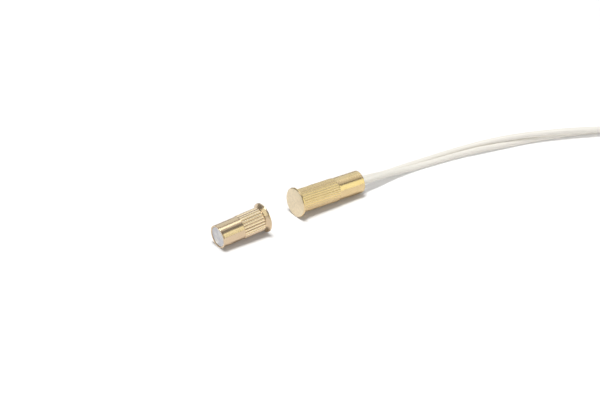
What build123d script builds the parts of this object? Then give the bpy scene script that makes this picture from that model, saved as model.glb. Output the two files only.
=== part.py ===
from build123d import *
import math
import os

# Recessed magnetic contact: a turned brass contact barrel with two leads, and the
# turned brass magnet barrel that works it. Both lie on a table, flange towards flange.
# Millimetres, +Z up. +X runs along the contact barrel from its flange to its leads.
# The origin is on the table, under the middle of the two barrels' box.

# ---- contact barrel (stations along its axis, from the flange's outer face) ----
CONTACT_FLANGE_R = 4.12
CONTACT_FLANGE_T = 0.55
CONTACT_FLANGE_EDGE = 0.18      # bevel round the outer face
KNURL_R = 3.284                 # crests of the fine straight knurl
KNURL_ROOT_R = 3.14
KNURL_CORE_R = 3.06
KNURL_COUNT = 32
KNURL_PHASE = 7.9               # degrees from +Y to a crest
KNURL_END = 13.20
CONTACT_R = 3.175               # plain rear section
CONTACT_LEN = 21.29
CONTACT_TAIL_BEVEL = 0.20
CONTACT_BORE_R = 2.675
CONTACT_WALL_FRONT = 0.95       # closed end
POTTING_END = 20.70             # potting stops short of the rim

# ---- reed switch and its wiring, inside the contact barrel ----
LEADS_ROLL = -7.6               # the plane of the two leads, turned about the axis
LEAD_OFFSET = 0.908             # each lead's distance from the axis
REED_Y = -0.28                  # glass axis, off centre to leave room for the return wire
RETURN_Y = 1.50
GLASS_R = 1.0
GLASS_BORE_R = 0.68
GLASS_START = 3.20
GLASS_END = 13.70
GLASS_SEAL = 1.5                # solid glass at each end, fused round the wire
REED_WIRE_R = 0.25
BLADE_W = 1.10
BLADE_T = 0.26
BLADE_LAP = 1.8
BLADE_GAP = 0.08
REED_SLEEVE_R = 1.24
RETURN_SLEEVE_R = 0.45
BEND_STATION = 2.50             # centre of the return wire's bend
JOINT_END = 16.00               # end of the reed's wires
CONDUCTOR_R = 0.34
SOLDER_START = 14.75
SOLDER_END = 15.90
CONDUCTOR_START = 14.60
LEAD_START = 17.20              # insulation starts here, inside the potting

# ---- magnet barrel (stations from its flange's outer face) ----
MAGNET_FLANGE_R = 4.127
MAGNET_RIM_T = 0.40
MAGNET_RIM_EDGE = 0.08
MAGNET_CONE_END = 1.15
MAGNET_NECK_R = 3.10
MAGNET_NECK_END = 1.22
RIB_R = 3.345
RIB_ROOT_R = 3.08
RIB_CORE_R = 3.01
RIB_COUNT = 24
RIB_PHASE = 3.3                 # degrees from +Y to a groove
RIB_END = 8.00
MAGNET_BARREL_R = 3.24          # plain section
MAGNET_BARREL_LEN = 14.80
MAGNET_TAIL_BEVEL = 0.15
MAGNET_BORE_R = 2.80
MAGNET_BORE_START = 1.30
MAGNET_R = 2.50
MAGNET_START = 1.30             # on the bore's floor
MAGNET_BEVEL = 0.15
MAGNET_LEN = 12.70
ADHESIVE_END = 14.64            # rim of the adhesive that covers the magnet's end
ADHESIVE_CROWN = 0.12

# ---- where the two barrels lie ----
CONTACT_X, CONTACT_Y = 2.392, 0.478      # centre of the contact's flange face, in plan
MAGNET_X, MAGNET_Y = -8.865, -0.641      # centre of the magnet's flange face, in plan
MAGNET_YAW = 178.86

# ---- leads ----
LEAD_D = 1.65
LEAD_R = LEAD_D / 2
LEAD_LENGTH = 305.0             # each, from the potting to the tip of the bare conductor
LEAD_RUN_1 = 24.60              # station of the first bend point, straight behind the barrel
TIP_R = 0.38
TIP_LEN = 6.0

# Corner points of each lead's centre line, after the straight way out of the barrel.
LEAD_A_ROUTE = [
    (33.29, 1.96, 1.415), (39.88, 2.34, 1.023), (46.81, 1.81, 0.939), (53.47, 1.12, 1.057),
    (59.60, -0.04, 1.382), (65.49, -1.94, 2.055), (72.35, -4.51, 2.592), (80.19, -7.34, 2.477),
    (88.17, -10.92, 2.365), (95.35, -14.41, 2.013), (100.32, -17.23, 1.508), (104.60, -19.40, 0.860)]
LEAD_B_ROUTE = [
    (35.31, 0.57, 1.740), (43.03, 0.51, 0.852), (49.79, -0.32, 0.828), (56.43, -1.15, 0.828),
    (62.38, -2.64, 1.168), (68.99, -4.26, 0.957), (77.34, -6.28, 0.828), (85.98, -9.13, 0.828),
    (93.86, -12.32, 0.832), (100.99, -15.84, 0.828)]

# ---- coil of the put-away length ----
COIL_X, COIL_Y = 120.663, -15.157
COIL_A_R = 10.70                # lead A's turns, outer column
COIL_B_R = 9.00                 # lead B's turns, inner column
COIL_STEP = 1.68                # from one turn up to the next
COIL_FULL = 3                   # full levels of both columns
COIL_ENTRY = -115.28            # angle of the point where the leads join the turns
COIL_TOP_FROM = 2.75            # the last level starts here, in turns
COIL_TOP_A_TO = 2.97
COIL_TOP_B_TO = 3.54
STUB_LEN = 8.4
TIE_TURN = 0.50                 # where the tie is, in turns from the entry
TIE_T = 0.35
TIE_W = 2.4
TIE_TWIST_R = 0.7
TIE_TWIST_LEN = 7.0

os.makedirs("parts", exist_ok=True)


def rest_tilt(flange_r, tail_r, flange_station, tail_station):
    """A barrel lies on its flange's rim and on the edge of its other end."""
    return math.degrees(math.atan2(flange_r - tail_r, tail_station - flange_station))


def centre_height(flange_r, station, tilt):
    a = math.radians(tilt)
    return flange_r * math.cos(a) + station * math.sin(a)


CONTACT_TILT = rest_tilt(CONTACT_FLANGE_R, CONTACT_R, CONTACT_FLANGE_T, CONTACT_LEN - CONTACT_TAIL_BEVEL)
MAGNET_TILT = rest_tilt(MAGNET_FLANGE_R, MAGNET_BARREL_R, MAGNET_RIM_T, MAGNET_BARREL_LEN - MAGNET_TAIL_BEVEL)
CONTACT_Z = centre_height(CONTACT_FLANGE_R, CONTACT_FLANGE_T, CONTACT_TILT)
MAGNET_Z = centre_height(MAGNET_FLANGE_R, MAGNET_RIM_T, MAGNET_TILT)
CONTACT_AT = Pos(CONTACT_X, CONTACT_Y, CONTACT_Z) * Rot(0, CONTACT_TILT, 0)
MAGNET_AT = Pos(MAGNET_X, MAGNET_Y, MAGNET_Z) * Rot(0, 0, MAGNET_YAW) * Rot(0, MAGNET_TILT, 0)


def turned(points):
    """A solid of revolution about X from a closed outline of (station, radius)."""
    edge = Polyline(*[(x, r, 0) for x, r in points], close=True)
    return revolve(make_face(edge), axis=Axis.X, revolution_arc=360)


def rod(x0, x1, r, y=0.0, z=0.0):
    return extrude(Plane(origin=(x0, y, z), x_dir=(0, 1, 0), z_dir=(1, 0, 0)) * Circle(r), amount=x1 - x0)


def prism(x0, x1, edges):
    return extrude(make_face(edges), amount=x1 - x0, dir=(1, 0, 0))


# ---------------------------------------------------------------- contact barrel
pts = []
for i in range(KNURL_COUNT):
    a = math.radians(KNURL_PHASE) + 2 * math.pi * i / KNURL_COUNT
    b = math.radians(KNURL_PHASE) + 2 * math.pi * (i + 0.5) / KNURL_COUNT
    pts.append((CONTACT_FLANGE_T, KNURL_R * math.cos(a), KNURL_R * math.sin(a)))
    pts.append((CONTACT_FLANGE_T, KNURL_ROOT_R * math.cos(b), KNURL_ROOT_R * math.sin(b)))
knurl = prism(CONTACT_FLANGE_T, KNURL_END, Polyline(*pts, close=True))

e = CONTACT_FLANGE_EDGE
c = CONTACT_TAIL_BEVEL
contact_housing = turned([
    (0, 0), (0, CONTACT_FLANGE_R - e), (e, CONTACT_FLANGE_R), (CONTACT_FLANGE_T, CONTACT_FLANGE_R),
    (CONTACT_FLANGE_T, KNURL_CORE_R), (KNURL_END, KNURL_CORE_R), (KNURL_END, CONTACT_R),
    (CONTACT_LEN - c, CONTACT_R), (CONTACT_LEN, CONTACT_R - c), (CONTACT_LEN, 0)])
contact_housing += knurl
contact_housing -= rod(CONTACT_WALL_FRONT, CONTACT_LEN + 1, CONTACT_BORE_R)

# ---- reed switch: two flat blades in a glass capsule, a wire out of each end
glass_mid = 0.5 * (GLASS_START + GLASS_END)
front_x0, front_x1 = GLASS_START + GLASS_SEAL, glass_mid + BLADE_LAP / 2
rear_x0, rear_x1 = glass_mid - BLADE_LAP / 2, GLASS_END - GLASS_SEAL
glass_skin = rod(GLASS_START, GLASS_END, GLASS_R, REED_Y)
glass_skin = fillet(glass_skin.edges().filter_by(GeomType.CIRCLE), 0.3)
reed_glass = glass_skin - rod(front_x0, rear_x1, GLASS_BORE_R, REED_Y)
reed_glass -= rod(GLASS_START - 1, GLASS_END + 1, REED_WIRE_R, REED_Y)

blade_z = BLADE_GAP / 2 + BLADE_T / 2
front_blade = Pos(0.5 * (front_x0 + front_x1), REED_Y, blade_z) * Box(front_x1 - front_x0, BLADE_W, BLADE_T)
rear_blade = Pos(0.5 * (rear_x0 + rear_x1), REED_Y, -blade_z) * Box(rear_x1 - rear_x0, BLADE_W, BLADE_T)
bend_r = (RETURN_Y - REED_Y) / 2
start = (front_x0 + 0.2, REED_Y, 0)
bend_0 = (BEND_STATION, REED_Y, 0)
bend_1 = (BEND_STATION - bend_r, REED_Y + bend_r, 0)
bend_2 = (BEND_STATION, RETURN_Y, 0)
wire_path = Wire([Edge.make_line(start, bend_0), Edge.make_three_point_arc(bend_0, bend_1, bend_2),
                  Edge.make_line(bend_2, (JOINT_END, RETURN_Y, 0))])
front_wire = sweep(Plane(origin=start, z_dir=(-1, 0, 0)) * Circle(REED_WIRE_R), path=wire_path)
rear_wire = rod(rear_x1 - 0.2, JOINT_END, REED_WIRE_R, REED_Y)
# each wire is cut back to half where its blade leaves it, so the two blades stay apart
reed_blade_front = (front_wire - Pos(front_x0 + 0.25, REED_Y, -0.5) * Box(0.5, 1.2, 1.04)) + front_blade
reed_blade_rear = (rear_wire - Pos(rear_x1 - 0.25, REED_Y, 0.5) * Box(0.5, 1.2, 1.04)) + rear_blade

reed_sleeve = rod(GLASS_START - 0.1, GLASS_END + 0.1, REED_SLEEVE_R, REED_Y)
reed_sleeve -= rod(GLASS_START - 1, GLASS_END + 1, GLASS_R, REED_Y)
return_wire_sleeve = rod(BEND_STATION + 0.1, GLASS_END + 0.5, RETURN_SLEEVE_R, RETURN_Y)
return_wire_sleeve -= rod(BEND_STATION, GLASS_END + 1, REED_WIRE_R, RETURN_Y)


def solder(lead_y, wire_y):
    """Solder round a conductor and a reed wire that lie side by side."""
    n = SOLDER_END - SOLDER_START
    body = rod(SOLDER_START, SOLDER_END, CONDUCTOR_R + 0.16, lead_y)
    body += rod(SOLDER_START, SOLDER_END, REED_WIRE_R + 0.16, wire_y)
    body += Pos(SOLDER_START + n / 2, 0.5 * (lead_y + wire_y), 0) * Box(n, abs(lead_y - wire_y), 0.66)
    return body


wire_y = {"a": LEAD_OFFSET, "b": -LEAD_OFFSET}
conductor_a = rod(CONDUCTOR_START, LEAD_START, CONDUCTOR_R, wire_y["a"])
conductor_b = rod(CONDUCTOR_START, LEAD_START, CONDUCTOR_R, wire_y["b"])
return_rod = rod(SOLDER_START - 1, JOINT_END, REED_WIRE_R, RETURN_Y)
joint_a_skin = solder(wire_y["a"], RETURN_Y)
joint_b_skin = solder(wire_y["b"], REED_Y)
solder_joint_a = joint_a_skin - conductor_a - return_rod
solder_joint_b = joint_b_skin - conductor_b - rear_wire

# ---- potting fills the bore round everything in it
contact_potting = rod(CONTACT_WALL_FRONT, POTTING_END, CONTACT_BORE_R)
for piece in (rod(GLASS_START - 0.1, GLASS_END + 0.1, REED_SLEEVE_R, REED_Y), front_wire, rear_wire,
              rod(BEND_STATION + 0.1, GLASS_END + 0.5, RETURN_SLEEVE_R, RETURN_Y), joint_a_skin, joint_b_skin,
              conductor_a, conductor_b, rod(LEAD_START, POTTING_END + 1, LEAD_R, wire_y["a"]),
              rod(LEAD_START, POTTING_END + 1, LEAD_R, wire_y["b"])):
    contact_potting -= piece

# ---------------------------------------------------------------- magnet barrel
arcs = []
for i in range(RIB_COUNT):
    at = [math.radians(RIB_PHASE) + 2 * math.pi * (i + k) / RIB_COUNT for k in (0, 0.5, 1)]
    p = [(MAGNET_NECK_END, r * math.cos(a), r * math.sin(a)) for r, a in zip((RIB_ROOT_R, RIB_R, RIB_ROOT_R), at)]
    arcs.append(Edge.make_three_point_arc(*p))
ribs = extrude(make_face(Wire(arcs)), amount=RIB_END - MAGNET_NECK_END, dir=(1, 0, 0))

c = MAGNET_TAIL_BEVEL
magnet_housing = turned([
    (0, 0), (0, MAGNET_FLANGE_R - MAGNET_RIM_EDGE), (MAGNET_RIM_EDGE, MAGNET_FLANGE_R), (MAGNET_RIM_T, MAGNET_FLANGE_R),
    (MAGNET_CONE_END, MAGNET_NECK_R), (MAGNET_NECK_END, MAGNET_NECK_R), (MAGNET_NECK_END, RIB_CORE_R),
    (RIB_END, RIB_CORE_R), (RIB_END, MAGNET_BARREL_R),
    (MAGNET_BARREL_LEN - c, MAGNET_BARREL_R), (MAGNET_BARREL_LEN, MAGNET_BARREL_R - c), (MAGNET_BARREL_LEN, 0)])
magnet_housing += ribs
magnet_housing -= rod(MAGNET_BORE_START, MAGNET_BARREL_LEN + 1, MAGNET_BORE_R)
magnet_housing -= turned([(MAGNET_BARREL_LEN - 0.1, 0), (MAGNET_BARREL_LEN - 0.1, MAGNET_BORE_R),
                          (MAGNET_BARREL_LEN + 0.1, MAGNET_BORE_R + 0.2), (MAGNET_BARREL_LEN + 0.1, 0)])

magnet_end = MAGNET_START + MAGNET_LEN
b = MAGNET_BEVEL
bar_magnet = turned([(MAGNET_START, 0), (MAGNET_START, MAGNET_R - b), (MAGNET_START + b, MAGNET_R),
                     (magnet_end - b, MAGNET_R), (magnet_end, MAGNET_R - b), (magnet_end, 0)])
crown_r = (MAGNET_BORE_R ** 2 + ADHESIVE_CROWN ** 2) / (2 * ADHESIVE_CROWN)
magnet_adhesive = turned([(MAGNET_START, MAGNET_R - b), (MAGNET_START, MAGNET_BORE_R), (ADHESIVE_END + ADHESIVE_CROWN + 0.1, MAGNET_BORE_R),
                          (ADHESIVE_END + ADHESIVE_CROWN + 0.1, 0), (magnet_end, 0), (magnet_end, MAGNET_R - b),
                          (magnet_end - b, MAGNET_R), (MAGNET_START + b, MAGNET_R)])
magnet_adhesive &= Pos(ADHESIVE_END + ADHESIVE_CROWN - crown_r, 0, 0) * Sphere(crown_r)

# ---------------------------------------------------------------- leads
def behind_contact(station, y):
    """A point given along the contact's axis and along the leads' plane."""
    p = (CONTACT_AT * Rot(LEADS_ROLL, 0, 0) * Pos(station, y, 0)).position
    return (p.X, p.Y, p.Z)


entry = math.radians(COIL_ENTRY)
heading = (-math.sin(entry), math.cos(entry))


def stub_point(coil_r):
    """Where a lead meets the coil's straight lead-in."""
    return (COIL_X + coil_r * math.cos(entry) - STUB_LEN * heading[0],
            COIL_Y + coil_r * math.sin(entry) - STUB_LEN * heading[1], LEAD_R)


def tube(name, points, radius):
    """Straight runs joined by tangent arcs, each arc as large as its two runs allow."""
    v = [Vector(*p) for p in points]
    lengths = [math.dist(a, b) for a, b in zip(points, points[1:])]
    radii = []
    for i in range(1, len(v) - 1):
        turn = (v[i] - v[i - 1]).get_angle(v[i + 1] - v[i])
        radii.append(0.45 * min(lengths[i - 1], lengths[i]) / math.tan(math.radians(turn) / 2))
    path = FilletPolyline(*points, radius=radii)
    solid = sweep(Plane(origin=path @ 0, z_dir=path % 0) * Circle(radius), path=path)
    length = path.length
    print("%s: length %.2f; runs %s; radii %s; volume %.3f, section x length %.3f; lowest %.4f" % (
        name, length, " ".join("%.1f" % r for r in lengths), " ".join("%.0f" % r for r in radii),
        solid.volume, math.pi * radius ** 2 * length, solid.bounding_box().min.Z))
    print("  points", ", ".join("(%.4f, %.4f, %.4f)" % p for p in points))
    return solid, length


route_a = [behind_contact(LEAD_START, wire_y["a"]), behind_contact(LEAD_RUN_1, wire_y["a"])] + LEAD_A_ROUTE + [stub_point(COIL_A_R)]
route_b = [behind_contact(LEAD_START, wire_y["b"]), behind_contact(LEAD_RUN_1, wire_y["b"])] + LEAD_B_ROUTE + [stub_point(COIL_B_R)]
lead_a, length_a = tube("lead_a", route_a, LEAD_R)
lead_b, length_b = tube("lead_b", route_b, LEAD_R)

# ---- coil: inner column of lead B's turns, outer column of lead A's, and the leads' way in
def level_top(n):
    return LEAD_D + (n - 1) * COIL_STEP


def ring(r_in, r_out, z0, z1, turn0=0.0, turn1=1.0):
    """Part of a flat ring, counted anticlockwise in turns from the entry."""
    section = make_face(Polyline((r_in, 0, z0), (r_out, 0, z0), (r_out, 0, z1), (r_in, 0, z1), close=True))
    body = revolve(section, axis=Axis.Z, revolution_arc=360 * (turn1 - turn0))
    return Pos(COIL_X, COIL_Y, 0) * Rot(0, 0, COIL_ENTRY + 360 * turn0) * body


full_top = level_top(COIL_FULL)
last_top = level_top(COIL_FULL + 1)
a_in, a_out = COIL_A_R - LEAD_R, COIL_A_R + LEAD_R
b_in, b_out = COIL_B_R - LEAD_R, COIL_B_R + LEAD_R
lead_coil = ring(b_in, a_out, 0, full_top)
lead_coil += ring(a_in, a_out, full_top, last_top, COIL_TOP_FROM, COIL_TOP_A_TO)
lead_coil += ring(b_in, b_out, full_top, last_top, COIL_TOP_FROM, COIL_TOP_B_TO)
mid_r = 0.5 * (COIL_A_R + COIL_B_R)
lead_coil += (Pos(COIL_X, COIL_Y, 0) * Rot(0, 0, COIL_ENTRY) * Pos(mid_r, -STUB_LEN / 2, LEAD_R)
              * Box(COIL_A_R - COIL_B_R + LEAD_D, STUB_LEN, LEAD_D))

# ---- tie round the coil, in a shallow hump of the turns
tie_at = Pos(COIL_X, COIL_Y, 0) * Rot(0, 0, COIL_ENTRY + 360 * TIE_TURN)
ti, to, lift = b_in - 0.12, a_out + 0.03, TIE_T + 0.03
hole = Polyline((ti, 0, TIE_T), (to, 0, TIE_T), (to, 0, full_top + lift), (b_out, 0, last_top + lift),
                (ti, 0, last_top + lift), close=True)
hole_face = make_face(hole)
rim_face = make_face(Polyline((ti - TIE_T, 0, 0), (to + TIE_T, 0, 0), (to + TIE_T, 0, full_top + lift + TIE_T / 2),
                              (b_out + TIE_T / 2, 0, last_top + lift + TIE_T), (ti - TIE_T, 0, last_top + lift + TIE_T), close=True))
band = extrude(rim_face, amount=TIE_W / 2, both=True, dir=(0, 1, 0)) - extrude(hole_face, amount=TIE_W, both=True, dir=(0, 1, 0))
twist = rod(to + TIE_T - 0.1, to + TIE_T + TIE_TWIST_LEN, TIE_TWIST_R, 0, TIE_TWIST_R + 0.02)
coil_tie = tie_at * (band + twist)
lead_coil -= tie_at * Pos(mid_r, 0, lift / 2) * Box(a_out - b_in + 2, TIE_W + 0.2, lift)

# ---- bare ends of the leads, at the end of their turns
def tip(coil_r, turn):
    a0 = COIL_ENTRY + 360 * turn
    disc = Plane(origin=(coil_r, 0, last_top - LEAD_R), x_dir=(1, 0, 0), z_dir=(0, 1, 0)) * Circle(TIP_R)
    bar = extrude(disc, amount=TIP_LEN)
    return Pos(COIL_X, COIL_Y, 0) * Rot(0, 0, a0) * bar


lead_a_tip = tip(COIL_A_R, COIL_TOP_A_TO)
lead_b_tip = tip(COIL_B_R, COIL_TOP_B_TO)

for name, length, coil_r, last in (("a", length_a, COIL_A_R, COIL_TOP_A_TO), ("b", length_b, COIL_B_R, COIL_TOP_B_TO)):
    in_coil = LEAD_LENGTH - TIP_LEN - (length - (POTTING_END - LEAD_START)) - STUB_LEN
    turns = in_coil / math.hypot(2 * math.pi * coil_r, COIL_STEP)
    print("lead %s: %.2f out of the potting to the coil, %.2f in the coil = %.3f turns (drawn to %.2f)" % (
        name, length - (POTTING_END - LEAD_START), in_coil, turns, last))

# ---------------------------------------------------------------- write every piece
nodes = {"contact_housing": CONTACT_AT * contact_housing}
for name, shape in (("reed_glass", reed_glass), ("reed_blade_front", reed_blade_front), ("reed_blade_rear", reed_blade_rear),
                    ("reed_sleeve", reed_sleeve), ("return_wire_sleeve", return_wire_sleeve),
                    ("solder_joint_a", solder_joint_a), ("solder_joint_b", solder_joint_b),
                    ("conductor_a", conductor_a), ("conductor_b", conductor_b), ("contact_potting", contact_potting)):
    nodes[name] = CONTACT_AT * Rot(LEADS_ROLL, 0, 0) * shape
for name, shape in (("magnet_housing", magnet_housing), ("bar_magnet", bar_magnet), ("magnet_adhesive", magnet_adhesive)):
    nodes[name] = MAGNET_AT * shape
nodes["lead_a"] = lead_a
nodes["lead_b"] = lead_b
nodes["lead_coil"] = lead_coil
nodes["coil_tie"] = coil_tie
nodes["lead_a_tip"] = lead_a_tip
nodes["lead_b_tip"] = lead_b_tip
for name, shape in nodes.items():
    solids = shape.solids()
    if len(solids) != 1:
        print("NOT ONE SOLID:", name, len(solids), [round(s.volume, 4) for s in solids])
    shape.label = name
    export_step(shape, "parts/%s.step" % name)

pair = [nodes[n].bounding_box() for n in ("contact_housing", "magnet_housing")]
lo = [min(b.min.X for b in pair), min(b.min.Y for b in pair), min(b.min.Z for b in pair)]
hi = [max(b.max.X for b in pair), max(b.max.Y for b in pair), max(b.max.Z for b in pair)]
print("pair box", ["%.3f" % v for v in lo], ["%.3f" % v for v in hi], "centre %.3f %.3f" % ((lo[0] + hi[0]) / 2, (lo[1] + hi[1]) / 2))
print("tilts %.4f %.4f, heights %.4f %.4f" % (CONTACT_TILT, MAGNET_TILT, CONTACT_Z, MAGNET_Z))
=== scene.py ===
import bpy, bmesh, math
from mathutils import Matrix, Vector, noise


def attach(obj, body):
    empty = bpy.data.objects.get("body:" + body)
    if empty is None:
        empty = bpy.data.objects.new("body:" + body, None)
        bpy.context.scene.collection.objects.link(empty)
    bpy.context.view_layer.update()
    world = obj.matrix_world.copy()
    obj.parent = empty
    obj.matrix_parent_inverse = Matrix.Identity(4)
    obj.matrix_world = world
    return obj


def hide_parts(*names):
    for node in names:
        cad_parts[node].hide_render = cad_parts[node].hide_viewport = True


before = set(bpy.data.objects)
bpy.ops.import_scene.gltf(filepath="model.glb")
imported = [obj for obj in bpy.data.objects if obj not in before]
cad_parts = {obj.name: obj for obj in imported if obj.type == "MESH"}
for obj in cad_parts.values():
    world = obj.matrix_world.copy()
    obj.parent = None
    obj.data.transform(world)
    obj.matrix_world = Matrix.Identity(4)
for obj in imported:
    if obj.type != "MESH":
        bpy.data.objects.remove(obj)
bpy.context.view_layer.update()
MM = 0.001

# ------------------------------------------------------------------ places, as in the CAD
CONTACT_TILT, MAGNET_TILT, MAGNET_YAW = math.radians(2.6342), math.radians(3.5618), math.radians(178.86)
CONTACT_AT = Matrix.Translation((2.392 * MM, 0.478 * MM, 4.1409 * MM)) @ Matrix.Rotation(CONTACT_TILT, 4, "Y")
MAGNET_AT = (Matrix.Translation((-8.865 * MM, -0.641 * MM, 4.1439 * MM)) @ Matrix.Rotation(MAGNET_YAW, 4, "Z")
             @ Matrix.Rotation(MAGNET_TILT, 4, "Y"))

# ------------------------------------------------------------------ camera
TARGET = Vector((8.17, 6.22, 0.0)) * MM
BACK = Vector((-0.49790, -0.68967, 0.52580))
cam_data = bpy.data.cameras.new("camera")
cam_data.sensor_width = 36.0
cam_data.lens = 220.606
cam_data.clip_start, cam_data.clip_end = 0.05, 20.0
cam = bpy.data.objects.new("camera", cam_data)
cam.rotation_mode = "QUATERNION"
cam.location = TARGET + BACK * 1.0
cam.rotation_quaternion = (-BACK).to_track_quat("-Z", "Y")
bpy.context.collection.objects.link(cam)
bpy.context.scene.camera = cam

# ------------------------------------------------------------------ leads
LEAD_D = 1.65
LEAD_R = LEAD_D / 2
ROUTE_A = [(19.5683, 1.3780, 3.2305), (26.9605, 1.3780, 2.8904), (33.29, 1.96, 1.415), (39.88, 2.34, 1.023),
           (46.81, 1.81, 0.939), (53.47, 1.12, 1.057), (59.60, -0.04, 1.382), (65.49, -1.94, 2.055), (72.35, -4.51, 2.592),
           (80.19, -7.34, 2.477), (88.17, -10.92, 2.365), (95.35, -14.41, 2.013), (100.32, -17.23, 1.508),
           (104.60, -19.40, 0.860), (108.4981, -21.2451, 0.8250)]
ROUTE_B = [(19.5793, -0.4220, 3.4704), (26.9715, -0.4220, 3.1303), (35.31, 0.57, 1.740), (43.03, 0.51, 0.852),
           (49.79, -0.32, 0.828), (56.43, -1.15, 0.828), (62.38, -2.64, 1.168), (68.99, -4.26, 0.957), (77.34, -6.28, 0.828),
           (85.98, -9.13, 0.828), (93.86, -12.32, 0.832), (100.99, -15.84, 0.828), (109.2241, -19.7079, 0.8250)]
COIL_C = (120.663, -15.157)
COIL_A_R, COIL_B_R, COIL_STEP = 10.70, 9.00, 1.68
COIL_ENTRY = -115.28
TURNS_A, TURNS_B = 2.977, 3.549
PER_TURN = 16
TIE_TURN = 0.50
TIE_LIFT = 0.37


def coil_place(radius, turn, reach=1.0):
    """A point of a turn: flat on its level, with the step up to the next in a quarter turn."""
    a = math.radians(COIL_ENTRY + 360 * turn)
    level = math.floor(turn)
    k = min(1.0, max(0.0, (turn - level - 0.62) / 0.25))
    lift = math.cos(math.pi * min(0.5, abs(turn - level - TIE_TURN) / 0.30)) ** 2 * TIE_LIFT
    z = LEAD_R + COIL_STEP * (level + k * k * (3 - 2 * k)) + lift
    return (COIL_C[0] + radius * reach * math.cos(a), COIL_C[1] + radius * reach * math.sin(a), z)


def coil_points(radius, turns):
    """The corners round the turns, the first one just ahead of the point where the lead meets them."""
    out = []
    whole = int(turns * PER_TURN)
    for i in range(-1, whole):
        out.append(coil_place(radius, max(0.0, (i + 0.5) / PER_TURN), 1 / math.cos(math.pi / PER_TURN)) if i >= 0 else None)
    a = math.radians(COIL_ENTRY)
    back = radius * math.tan(math.pi / PER_TURN)
    out[0] = (COIL_C[0] + radius * math.cos(a) + back * math.sin(a), COIL_C[1] + radius * math.sin(a) - back * math.cos(a), LEAD_R)
    rest = turns - whole / PER_TURN
    out.append(coil_place(radius, whole / PER_TURN + rest / 2, 1 / math.cos(math.pi * rest)))
    out.append(coil_place(radius, turns))
    return out


def cord_curve(name, points, diameter):
    data = bpy.data.curves.new(name, "CURVE")
    data.dimensions = "3D"
    spline = data.splines.new("NURBS")
    spline.points.add(len(points) - 1)
    for p, q in zip(spline.points, points):
        p.co = (q[0] * MM, q[1] * MM, q[2] * MM, 1.0)
    spline.order_u = 3
    spline.use_endpoint_u = True
    spline.resolution_u = 12
    data.bevel_depth = diameter / 2 * MM
    data.bevel_resolution = 7
    data.use_fill_caps = True
    data.twist_mode = "MINIMUM"
    obj = bpy.data.objects.new(name, data)
    bpy.context.collection.objects.link(obj)
    return obj


lead_a = cord_curve("lead_upper", ROUTE_A + coil_points(COIL_A_R, TURNS_A), LEAD_D)
lead_b = cord_curve("lead_lower", ROUTE_B + coil_points(COIL_B_R, TURNS_B), LEAD_D)


# ------------------------------------------------------------------ mesh helpers
def new_object(name, verts, faces, at=None, smooth=True):
    mesh = bpy.data.meshes.new(name)
    mesh.from_pydata([tuple(v) for v in verts], [], faces)
    mesh.validate()
    mesh.update()
    if smooth:
        mesh.polygons.foreach_set("use_smooth", [True] * len(mesh.polygons))
    obj = bpy.data.objects.new(name, mesh)
    bpy.context.collection.objects.link(obj)
    if at is not None:
        obj.matrix_world = at
    return obj


def sharpen(obj, degrees):
    """Edges sharper than this stay crisp."""
    bm = bmesh.new()
    bm.from_mesh(obj.data)
    bmesh.ops.recalc_face_normals(bm, faces=bm.faces)
    for e in bm.edges:
        e.smooth = not (len(e.link_faces) == 2 and e.calc_face_angle(0) > math.radians(degrees))
    bm.to_mesh(obj.data)
    bm.free()


def lathe(name, stations, n, shape=None, at=None, degrees=32):
    """Turned body about X. stations are (x, r) in mm, from one point on the axis to another; shape(x, r, turn, i) may change a radius or station."""
    verts, faces = [], []
    rows = []
    for i, (x, r) in enumerate(stations):
        if r == 0:
            rows.append([len(verts)])
            verts.append((x * MM, 0, 0))
            continue
        row = []
        for k in range(n):
            t = k / n
            xx, rr = shape(x, r, t, i) if shape else (x, r)
            a = 2 * math.pi * t
            row.append(len(verts))
            verts.append((xx * MM, rr * math.cos(a) * MM, rr * math.sin(a) * MM))
        rows.append(row)
    for a, b in zip(rows, rows[1:]):
        if len(a) == 1 and len(b) == 1:
            continue
        for k in range(n):
            j = (k + 1) % n
            if len(a) == 1:
                faces.append((a[0], b[j], b[k]))
            elif len(b) == 1:
                faces.append((a[k], a[j], b[0]))
            else:
                faces.append((a[k], a[j], b[j], b[k]))
    obj = new_object(name, verts, faces, at)
    sharpen(obj, degrees)
    return obj


def arc(cx, cr, rad, a0, a1, steps):
    """Points of a rounding, angles in degrees from +x towards +r."""
    return [(cx + rad * math.cos(math.radians(a0 + (a1 - a0) * i / steps)), cr + rad * math.sin(math.radians(a0 + (a1 - a0) * i / steps)))
            for i in range(steps + 1)]


def ramp(x, x0, x1):
    k = min(1.0, max(0.0, (x - x0) / (x1 - x0)))
    return k * k * (3 - 2 * k)


# ------------------------------------------------------------------ contact barrel
KNURL_N, KNURL_R, KNURL_ROOT, KNURL_PHASE = 32, 3.284, 3.18, 7.9
KNURL_0, KNURL_1 = 0.55, 13.20


def contact_shape(x, r, t, i):
    if KNURL_0 + 0.05 < x < KNURL_1 + 0.001 and 3.0 < r < 3.3:
        phase = ((t - KNURL_PHASE / 360) * KNURL_N + 0.5) % 1.0
        tooth = 1 - abs(2 * phase - 1)
        tooth = ramp(tooth, 0.10, 0.90)
        deep = ramp(x, KNURL_0 + 0.05, KNURL_0 + 0.35) * (1 - ramp(x, KNURL_1 - 0.35, KNURL_1))
        r = KNURL_R - 0.012 - (KNURL_R - KNURL_ROOT - 0.012) * (1 - tooth) * deep
        r -= (r - 3.175) * ramp(x, KNURL_1 - 0.42, KNURL_1 + 0.10)
    return x, r


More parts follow.
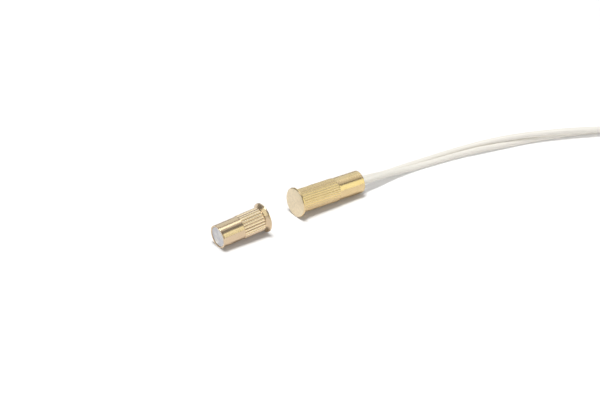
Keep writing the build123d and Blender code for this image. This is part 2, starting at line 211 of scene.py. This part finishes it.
knurl_rows = [0.62, 0.68, 0.74, 0.80, 0.86, 0.94, 1.4] + [2.0 + 0.8 * i for i in range(14)] + [12.80, 12.88, 12.96, 13.04, 13.12, 13.195]
contact_line = [(0, 0), (0, 0.4), (0, 1.0), (0, 1.7), (0, 2.4), (0, 3.1), (0, 3.7), (0, 3.90)]
contact_line += [(0.005, 3.935), (0.022, 3.958), (0.155, 4.095), (0.172, 4.112), (0.195, 4.119), (0.22, 4.12), (0.40, 4.12)]
contact_line += arc(0.49, 4.06, 0.06, 90, 0, 3) + [(0.55, 3.9), (0.55, 3.6), (0.55, 3.32)]
contact_line += [(x, 3.25) for x in knurl_rows]
contact_line += [(13.30, 3.175), (13.6, 3.175), (15.0, 3.175), (17.0, 3.175), (19.0, 3.175), (20.6, 3.175)]
contact_line += arc(21.09, 2.975, 0.20, 90, 0, 6) + [(21.29, 2.85)] + arc(21.19, 2.775, 0.10, 0, -90, 3)[1:]
contact_line += [(20.9, 2.675), (20.5, 2.675), (18.0, 2.675), (8.0, 2.675), (0.95, 2.675), (0.95, 1.5), (0.95, 0)]
contact_shell = lathe("contact_barrel_brass", contact_line, 576, contact_shape, CONTACT_AT)
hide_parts("contact_housing")

# ------------------------------------------------------------------ magnet barrel
RIB_N, RIB_R, RIB_ROOT, RIB_PHASE = 24, 3.345, 3.08, 10.8
RIB_0, RIB_1 = 1.22, 8.00


def magnet_shape(x, r, t, i):
    if RIB_0 < x < RIB_1 + 0.001 and 3.19 < r < 3.21:
        phase = ((t - RIB_PHASE / 360) * RIB_N + 0.5) % 1.0
        u = abs(2 * phase - 1)
        tooth = 1 - u ** 2.3
        deep = ramp(x, RIB_0, RIB_0 + 0.28) * (1 - 0.7 * ramp(x, RIB_1 - 0.20, RIB_1))
        crest = RIB_R - 0.02
        low = RIB_ROOT if x < RIB_1 - 0.5 else RIB_ROOT
        r = low + (crest - low) * tooth * deep if x < 1.56 else crest - (crest - low) * (1 - tooth) * deep
    return x, r


rib_rows = [1.25, 1.30, 1.35, 1.40, 1.45, 1.50, 1.62] + [2.0 + 0.6 * i for i in range(9)] + [7.40, 7.60, 7.76, 7.82, 7.88, 7.93, 7.965]
magnet_line = [(0, 0), (0, 0.5), (0, 1.2), (0, 2.0), (0, 2.8), (0, 3.5), (0, 3.95)]
magnet_line += arc(0.10, 4.027, 0.10, 180, 90, 3) + [(0.22, 4.127), (0.34, 4.124), (0.385, 4.11), (0.42, 4.075)]
magnet_line += [(0.56, 3.89), (0.70, 3.705), (0.85, 3.505), (0.98, 3.335), (1.06, 3.23), (1.12, 3.155), (1.17, 3.105), (1.22, 3.08)]
magnet_line += [(x, 3.2) for x in rib_rows]
magnet_line += [(7.995, 3.24), (8.05, 3.24), (8.5, 3.24), (9.8, 3.24), (11.2, 3.24), (12.7, 3.24), (14.2, 3.24)]
magnet_line += arc(14.70, 3.14, 0.10, 90, 0, 5) + [(14.80, 3.02), (14.80, 2.92)] + [(14.77, 2.86), (14.70, 2.80)]
magnet_line += [(14.5, 2.80), (14.2, 2.80), (8.0, 2.80), (1.30, 2.80), (1.30, 1.4), (1.30, 0)]
magnet_shell = lathe("magnet_barrel_brass", magnet_line, 480, magnet_shape, MAGNET_AT)
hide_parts("magnet_housing")


# ------------------------------------------------------------------ adhesive in the magnet barrel's open end
def fill_shape(x, r, t, i):
    if x > 14.3:
        a = 2 * math.pi * t
        p = Vector((r * math.cos(a), r * math.sin(a), 0.0))
        k = ramp(2.77 - r, 0.0, 0.5)
        x += k * (0.055 * noise.noise(p * 0.75 + Vector((3.1, 7.7, 0))) + 0.022 * noise.noise(p * 2.1) - 0.03)
    return x, r


fill_line = [(1.35, 2.36), (1.35, 2.79), (5.0, 2.79), (10.0, 2.79), (14.2, 2.79), (14.60, 2.79), (14.655, 2.76), (14.675, 2.68)]
fill_line += [(14.755 - 0.075 * (k / 14) ** 2, 2.66 * k / 14) for k in range(13, 0, -1)] + [(14.75, 0)]
fill_back = [(14.02, 0), (14.02, 2.34), (13.86, 2.51), (1.46, 2.51), (1.35, 2.36)]


def closed_turn(name, line, back, n, shape, at):
    """A turned solid whose outline closes on itself away from the axis."""
    verts, faces, rows = [], [], []
    for x, r in line + back[:-1]:
        if r == 0:
            xx = x
            if shape and x > 14.3:
                xx = shape(x, 0.0, 0.0, 0)[0]
            rows.append([len(verts)])
            verts.append((xx * MM, 0, 0))
            continue
        row = []
        for k in range(n):
            xx, rr = shape(x, r, k / n, 0) if shape else (x, r)
            a = 2 * math.pi * k / n
            row.append(len(verts))
            verts.append((xx * MM, rr * math.cos(a) * MM, rr * math.sin(a) * MM))
        rows.append(row)
    rows.append(rows[0])
    for a, b in zip(rows, rows[1:]):
        if len(a) == 1 and len(b) == 1:
            continue
        for k in range(n):
            j = (k + 1) % n
            if len(a) == 1:
                faces.append((a[0], b[j], b[k]))
            elif len(b) == 1:
                faces.append((a[k], a[j], b[0]))
            else:
                faces.append((a[k], a[j], b[j], b[k]))
    obj = new_object(name, verts, faces, at)
    sharpen(obj, 35)
    return obj


magnet_fill = closed_turn("magnet_end_adhesive", fill_line, fill_back, 128, fill_shape, MAGNET_AT)
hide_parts("magnet_adhesive")

# ------------------------------------------------------------------ materials
def shader(name):
    mat = bpy.data.materials.new(name)
    mat.use_nodes = True
    tree = mat.node_tree
    bsdf = tree.nodes.get("Principled BSDF")
    return mat, tree, bsdf


def node(tree, kind, **values):
    n = tree.nodes.new(kind)
    for k, v in values.items():
        if k.startswith("in_"):
            n.inputs[k[3:].replace("_", " ")].default_value = v
        else:
            setattr(n, k, v)
    return n


def math_node(tree, op, a, b=None, clamp=False):
    n = tree.nodes.new("ShaderNodeMath")
    n.operation = op
    n.use_clamp = clamp
    for i, v in enumerate((a, b)):
        if v is None:
            continue
        if isinstance(v, (int, float)):
            n.inputs[i].default_value = v
        else:
            tree.links.new(v, n.inputs[i])
    return n.outputs[0]


def noise_node(tree, source, scale, detail=3.0, rough=0.55, dims="3D"):
    n = tree.nodes.new("ShaderNodeTexNoise")
    n.noise_dimensions = dims
    n.inputs["Scale"].default_value = scale
    n.inputs["Detail"].default_value = detail
    n.inputs["Roughness"].default_value = rough
    tree.links.new(source, n.inputs["W" if dims == "1D" else "Vector"])
    return n.outputs["Fac"]


def spread(tree, source, low, high, to_low, to_high):
    n = tree.nodes.new("ShaderNodeMapRange")
    n.interpolation_type = "SMOOTHSTEP"
    n.inputs["From Min"].default_value = low
    n.inputs["From Max"].default_value = high
    n.inputs["To Min"].default_value = to_low
    n.inputs["To Max"].default_value = to_high
    tree.links.new(source, n.inputs["Value"])
    return n.outputs["Result"]


def mix_colour(tree, factor, a, b):
    n = tree.nodes.new("ShaderNodeMix")
    n.data_type = "RGBA"
    n.blend_type = "MIX"
    fac = [s for s in n.inputs if s.name == "Factor" and s.type == "VALUE"][0]
    ca, cb = [s for s in n.inputs if s.name == "A" and s.type == "RGBA"][0], [s for s in n.inputs if s.name == "B" and s.type == "RGBA"][0]
    if isinstance(factor, (int, float)):
        fac.default_value = factor
    else:
        tree.links.new(factor, fac)
    for s, v in ((ca, a), (cb, b)):
        if isinstance(v, (tuple, list)):
            s.default_value = (*v, 1.0)
        else:
            tree.links.new(v, s)
    return [s for s in n.outputs if s.type == "RGBA"][0]


def bump(tree, bsdf, height, strength, distance, under=None):
    n = tree.nodes.new("ShaderNodeBump")
    n.inputs["Strength"].default_value = strength
    n.inputs["Distance"].default_value = distance
    tree.links.new(height, n.inputs["Height"])
    if under is not None:
        tree.links.new(under, n.inputs["Normal"])
    tree.links.new(n.outputs["Normal"], bsdf.inputs["Normal"])
    return n.outputs["Normal"]


def turned_coordinate(tree):
    """Object position in mm, its parts, the radius about X, and station plus radius, along which turning marks vary."""
    coord = tree.nodes.new("ShaderNodeTexCoord")
    mm = node(tree, "ShaderNodeVectorMath", operation="SCALE")
    mm.inputs["Scale"].default_value = 1000.0
    tree.links.new(coord.outputs["Object"], mm.inputs[0])
    parts = tree.nodes.new("ShaderNodeSeparateXYZ")
    tree.links.new(mm.outputs[0], parts.inputs[0])
    x, y, z = parts.outputs
    radius = math_node(tree, "SQRT", math_node(tree, "ADD", math_node(tree, "MULTIPLY", y, y), math_node(tree, "MULTIPLY", z, z)))
    return mm.outputs[0], x, y, z, radius, math_node(tree, "ADD", x, radius)


def brass(name, base, face, deep, rough, aniso, knurl=None, crest=None):
    mat, tree, bsdf = shader(name)
    place, x, y, z, radius, run = turned_coordinate(tree)
    marks = noise_node(tree, run, 5.5, 4.0, 0.6, "1D")
    coarse = noise_node(tree, run, 1.1, 2.0, 0.5, "1D")
    stain = noise_node(tree, place, 0.35, 4.0, 0.6)
    speck = noise_node(tree, place, 2.6, 5.0, 0.65)
    tone = mix_colour(tree, spread(tree, stain, 0.35, 0.70, 0.0, 0.55), base, deep)
    tone = mix_colour(tree, spread(tree, speck, 0.50, 0.72, 0.0, 0.18), tone, tuple(0.82 * c for c in deep))
    on_face = spread(tree, x, 0.0, 0.10, 1.0, 0.0)
    mottle = noise_node(tree, place, 1.5, 5.0, 0.68)
    face_tone = mix_colour(tree, spread(tree, mottle, 0.36, 0.64, 0.0, 1.0), tuple(1.03 * c for c in face), tuple(0.89 * c for c in face))
    tone = mix_colour(tree, on_face, tone, face_tone)
    if knurl:
        x0, x1, r0, r1, dark = knurl
        inside = math_node(tree, "MULTIPLY", spread(tree, x, x0, x0 + 0.2, 0.0, 1.0), spread(tree, x, x1 - 0.12, x1 - 0.02, 1.0, 0.0))
        # painted shade: the knurl and rib valleys, below the given radius, are darkened towards a deeper brass tone
        painted_valley_shade = math_node(tree, "MULTIPLY", inside, spread(tree, radius, r0, r1, dark, 0.0))
        tone = mix_colour(tree, painted_valley_shade, tone, tuple(0.55 * c for c in deep))
        if crest:
            # painted sheen: the rib crests are lightened towards the crest colour
            painted_crest_sheen = math_node(tree, "MULTIPLY", inside, spread(tree, radius, r1 - 0.05, r1 + 0.06, 0.0, 0.9))
            tone = mix_colour(tree, painted_crest_sheen, tone, crest)
    tree.links.new(tone, bsdf.inputs["Base Color"])
    bsdf.inputs["Metallic"].default_value = 1.0
    r = math_node(tree, "ADD", spread(tree, marks, 0.3, 0.7, rough - 0.04, rough + 0.05), spread(tree, speck, 0.4, 0.7, 0.0, 0.06))
    r = math_node(tree, "ADD", r, math_node(tree, "MULTIPLY", on_face, 0.14))
    tree.links.new(r, bsdf.inputs["Roughness"])
    bsdf.inputs["Anisotropic"].default_value = aniso
    bsdf.inputs["Anisotropic Rotation"].default_value = 0.25
    tangent = node(tree, "ShaderNodeTangent", direction_type="RADIAL", axis="X")
    tree.links.new(tangent.outputs[0], bsdf.inputs["Tangent"])
    first = tree.nodes.new("ShaderNodeBump")
    first.inputs["Strength"].default_value = 0.25
    first.inputs["Distance"].default_value = 0.00002
    tree.links.new(marks, first.inputs["Height"])
    bump(tree, bsdf, coarse, 0.18, 0.00004, first.outputs["Normal"])
    return mat


# the last number of each knurl tuple sets how strongly painted shade darkens the knurl or rib valleys
contact_mat = brass("contact_brass_turned", (0.71, 0.545, 0.310), (0.765, 0.65, 0.465), (0.665, 0.50, 0.265), 0.20, 0.55,
                    (KNURL_0, KNURL_1, KNURL_ROOT - 0.03, KNURL_R, 0.20))
# the magnet's last colour is the painted sheen on its rib crests
magnet_mat = brass("magnet_brass_turned", (0.655, 0.508, 0.348), (0.70, 0.58, 0.43), (0.60, 0.458, 0.298), 0.175, 0.55,
                   (RIB_0 + 0.2, RIB_1, RIB_ROOT, RIB_R - 0.08, 0.15), (0.82, 0.67, 0.50))
contact_shell.data.materials.append(contact_mat)
magnet_shell.data.materials.append(magnet_mat)


def insulation(name):
    mat, tree, bsdf = shader(name)
    coord = tree.nodes.new("ShaderNodeTexCoord")
    smudge = noise_node(tree, coord.outputs["Object"], 55.0, 4.0, 0.6)
    fine = noise_node(tree, coord.outputs["Object"], 1400.0, 3.0, 0.5)
    tone = mix_colour(tree, spread(tree, smudge, 0.40, 0.70, 0.0, 0.5), (0.775, 0.748, 0.682), (0.735, 0.707, 0.64))
    tree.links.new(tone, bsdf.inputs["Base Color"])
    tree.links.new(spread(tree, smudge, 0.3, 0.7, 0.36, 0.50), bsdf.inputs["Roughness"])
    bsdf.inputs["Specular IOR Level"].default_value = 0.45
    bump(tree, bsdf, fine, 0.25, 0.00001)
    return mat


lead_mat = insulation("lead_insulation_satin")
for o in (lead_a, lead_b):
    o.data.materials.append(lead_mat)
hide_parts("lead_a", "lead_coil")
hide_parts("lead_b", "lead_coil")


def adhesive_material():
    mat, tree, bsdf = shader("adhesive_silver_grey")
    place, x, y, z, radius, run = turned_coordinate(tree)
    cloud = noise_node(tree, place, 0.55, 4.0, 0.6)
    fleck = noise_node(tree, place, 5.0, 4.0, 0.65)
    tone = mix_colour(tree, spread(tree, cloud, 0.38, 0.62, 0.0, 1.0), (0.64, 0.625, 0.59), (0.46, 0.455, 0.485))
    # painted shade: the part of the fill towards -y is darkened, as if shaded by the rim
    tone = mix_colour(tree, spread(tree, y, -2.4, -0.5, 0.5, 0.0), tone, (0.40, 0.395, 0.44))
    tone = mix_colour(tree, spread(tree, fleck, 0.48, 0.66, 0.0, 0.4), tone, (0.72, 0.71, 0.69))
    # painted glint: a small near-white spot on the fill, close to its rim
    dy, dz = math_node(tree, "ADD", y, 0.65), math_node(tree, "ADD", z, 2.26)
    painted_glint_distance = math_node(tree, "SQRT", math_node(tree, "ADD", math_node(tree, "MULTIPLY", dy, dy), math_node(tree, "MULTIPLY", dz, dz)))
    tone = mix_colour(tree, spread(tree, painted_glint_distance, 0.20, 0.40, 1.0, 0.0), tone, (0.98, 0.98, 0.99))
    tree.links.new(tone, bsdf.inputs["Base Color"])
    bsdf.inputs["Metallic"].default_value = 0.35
    tree.links.new(spread(tree, fleck, 0.35, 0.65, 0.30, 0.45), bsdf.inputs["Roughness"])
    bsdf.inputs["Coat Weight"].default_value = 0.5
    bsdf.inputs["Coat Roughness"].default_value = 0.12
    bump(tree, bsdf, fleck, 0.3, 0.00003)
    return mat


magnet_fill.data.materials.append(adhesive_material())


def plain_metal(name, colour, dark, rough, scale=900.0):
    mat, tree, bsdf = shader(name)
    coord = tree.nodes.new("ShaderNodeTexCoord")
    n1 = noise_node(tree, coord.outputs["Object"], scale, 4.0, 0.6)
    tone = mix_colour(tree, spread(tree, n1, 0.35, 0.68, 0.0, 1.0), colour, dark)
    tree.links.new(tone, bsdf.inputs["Base Color"])
    bsdf.inputs["Metallic"].default_value = 1.0
    tree.links.new(spread(tree, n1, 0.3, 0.7, rough - 0.06, rough + 0.10), bsdf.inputs["Roughness"])
    bump(tree, bsdf, n1, 0.25, 0.00002)
    return mat


def plain_resin(name, colour, dark, rough, scale=700.0, alpha=1.0):
    mat, tree, bsdf = shader(name)
    coord = tree.nodes.new("ShaderNodeTexCoord")
    n1 = noise_node(tree, coord.outputs["Object"], scale, 4.0, 0.6)
    tone = mix_colour(tree, spread(tree, n1, 0.35, 0.68, 0.0, 1.0), colour, dark)
    tree.links.new(tone, bsdf.inputs["Base Color"])
    tree.links.new(spread(tree, n1, 0.3, 0.7, rough - 0.06, rough + 0.10), bsdf.inputs["Roughness"])
    bump(tree, bsdf, n1, 0.3, 0.00003)
    return mat


tinned = plain_metal("tinned_copper_wire", (0.74, 0.72, 0.69), (0.60, 0.57, 0.53), 0.30)
reed_metal = plain_metal("reed_nickel_iron", (0.62, 0.61, 0.58), (0.50, 0.49, 0.46), 0.28)
solder = plain_metal("solder_dull", (0.62, 0.63, 0.64), (0.48, 0.49, 0.50), 0.36)
magnet_alloy = plain_metal("magnet_alloy_ground", (0.40, 0.40, 0.41), (0.28, 0.28, 0.29), 0.40)
potting = plain_resin("potting_black", (0.030, 0.030, 0.033), (0.018, 0.018, 0.020), 0.34)
sleeve = plain_resin("sleeve_heat_shrink", (0.020, 0.020, 0.022), (0.035, 0.035, 0.038), 0.45)


def glass_material():
    mat, tree, bsdf = shader("reed_capsule_glass")
    coord = tree.nodes.new("ShaderNodeTexCoord")
    n1 = noise_node(tree, coord.outputs["Object"], 400.0, 2.0, 0.5)
    tone = mix_colour(tree, spread(tree, n1, 0.35, 0.68, 0.0, 1.0), (0.80, 0.93, 0.86), (0.72, 0.88, 0.80))
    tree.links.new(tone, bsdf.inputs["Base Color"])
    tree.links.new(spread(tree, n1, 0.3, 0.7, 0.02, 0.06), bsdf.inputs["Roughness"])
    bsdf.inputs["IOR"].default_value = 1.5
    bsdf.inputs["Transmission Weight"].default_value = 0.9
    return mat


glass = glass_material()
for names, mat in ((("reed_glass",), glass), (("reed_blade_front", "reed_blade_rear"), reed_metal),
                   (("reed_sleeve", "return_wire_sleeve"), sleeve), (("solder_joint_a", "solder_joint_b"), solder),
                   (("conductor_a", "conductor_b", "lead_a_tip", "lead_b_tip"), tinned), (("contact_potting",), potting),
                   (("bar_magnet",), magnet_alloy), (("coil_tie",), lead_mat)):
    for name in names:
        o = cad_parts[name]
        o = bpy.data.objects[name] if not isinstance(o, bpy.types.Object) else o
        o.data.materials.clear()
        o.data.materials.append(mat)

# ------------------------------------------------------------------ ride on the root body
for o in (contact_shell, magnet_shell, magnet_fill, lead_a, lead_b):
    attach(o, "root")


# ------------------------------------------------------------------ floor and light
floor = new_object("floor", [(-4, -4, 0), (4, -4, 0), (4, 4, 0), (-4, 4, 0)], [(0, 1, 2, 3)], smooth=False)
fmat, ftree, fbsdf = shader("floor_white")
fcoord = ftree.nodes.new("ShaderNodeTexCoord")
fn = noise_node(ftree, fcoord.outputs["Object"], 3.0, 2.0, 0.5)
ftree.links.new(mix_colour(ftree, fn, (0.90, 0.90, 0.90), (0.915, 0.915, 0.915)), fbsdf.inputs["Base Color"])
fbsdf.inputs["Roughness"].default_value = 0.9
fbsdf.inputs["Specular IOR Level"].default_value = 0.0
floor.data.materials.append(fmat)

# camera-aligned directions: right, away, up
YAW = math.radians(35.8286)
RIGHT = Vector((math.cos(YAW), -math.sin(YAW), 0.0))
AWAY = Vector((math.sin(YAW), math.cos(YAW), 0.0))
UP = Vector((0, 0, 1))
MIDDLE = Vector((0.0, 0.0, 0.004))


def light(name, right, away, up, distance, wide, tall, radiance, colour=(1, 1, 1), shape="RECTANGLE"):
    """An area light in that direction, of that radiance."""
    d = (RIGHT * right + AWAY * away + UP * up).normalized()
    data = bpy.data.lights.new(name, "AREA")
    data.shape = shape
    data.size, data.size_y = wide, tall
    area = wide * tall * (math.pi / 4 if shape in ("DISK", "ELLIPSE") else 1)
    data.energy = radiance * math.pi * area
    data.color = colour
    obj = bpy.data.objects.new(name, data)
    obj.location = MIDDLE + d * distance
    obj.rotation_mode = "QUATERNION"
    obj.rotation_quaternion = d.to_track_quat("Z", "Y")
    bpy.context.collection.objects.link(obj)
    return obj


def glow(*values):
    """A soft panel that only shows in the bright metal, and leaves the floor to the key light."""
    obj = light(*values)
    obj.visible_diffuse = False
    return obj


light("key_overhead", -0.08, -0.03, 1.0, 1.2, 0.38, 0.38, 21.9)
# the rest of the key light is held back by the brass only, so that the thin leads' shadow stays paler
soft = light("key_through_leads", -0.08, -0.03, 1.0, 1.23, 0.3895, 0.3895, 5.1)
blockers = bpy.data.collections.new("key_blockers")
for obj in (contact_shell, magnet_shell, magnet_fill, floor):
    blockers.objects.link(obj)
soft.light_linking.blocker_collection = blockers
fill = light("fill_front", -0.15, -0.90, 0.36, 1.5, 0.8, 0.6, 3.45, (1.0, 0.97, 1.0))
fill.visible_glossy = False
fill.data.use_shadow = False
glow("right_low", 0.970, -0.242, 0.335, 1.6, 1.15, 1.2, 1.25, (0.96, 1.0, 0.72))
glow("left_low", -0.86, -0.42, 0.22, 1.6, 1.2, 0.66, 1.05, (0.96, 1.0, 0.82))
glow("back_high", -0.05, 0.95, 0.62, 1.8, 2.4, 1.5, 0.74, (0.92, 1.0, 1.0))
glow("upper_right", 0.42, 0.30, 0.83, 1.6, 1.1, 1.0, 0.50)
glow("upper_middle", 0.23, 0.25, 0.93, 1.3, 0.34, 0.34, 1.25, (0.84, 1.0, 0.92))

world = bpy.data.worlds.new("studio")
world.use_nodes = True
world.node_tree.nodes["Background"].inputs["Color"].default_value = (1.0, 1.0, 1.0, 1.0)
world.node_tree.nodes["Background"].inputs["Strength"].default_value = 0.30
bpy.context.scene.world = world
bpy.context.scene.view_settings.view_transform = "Standard"
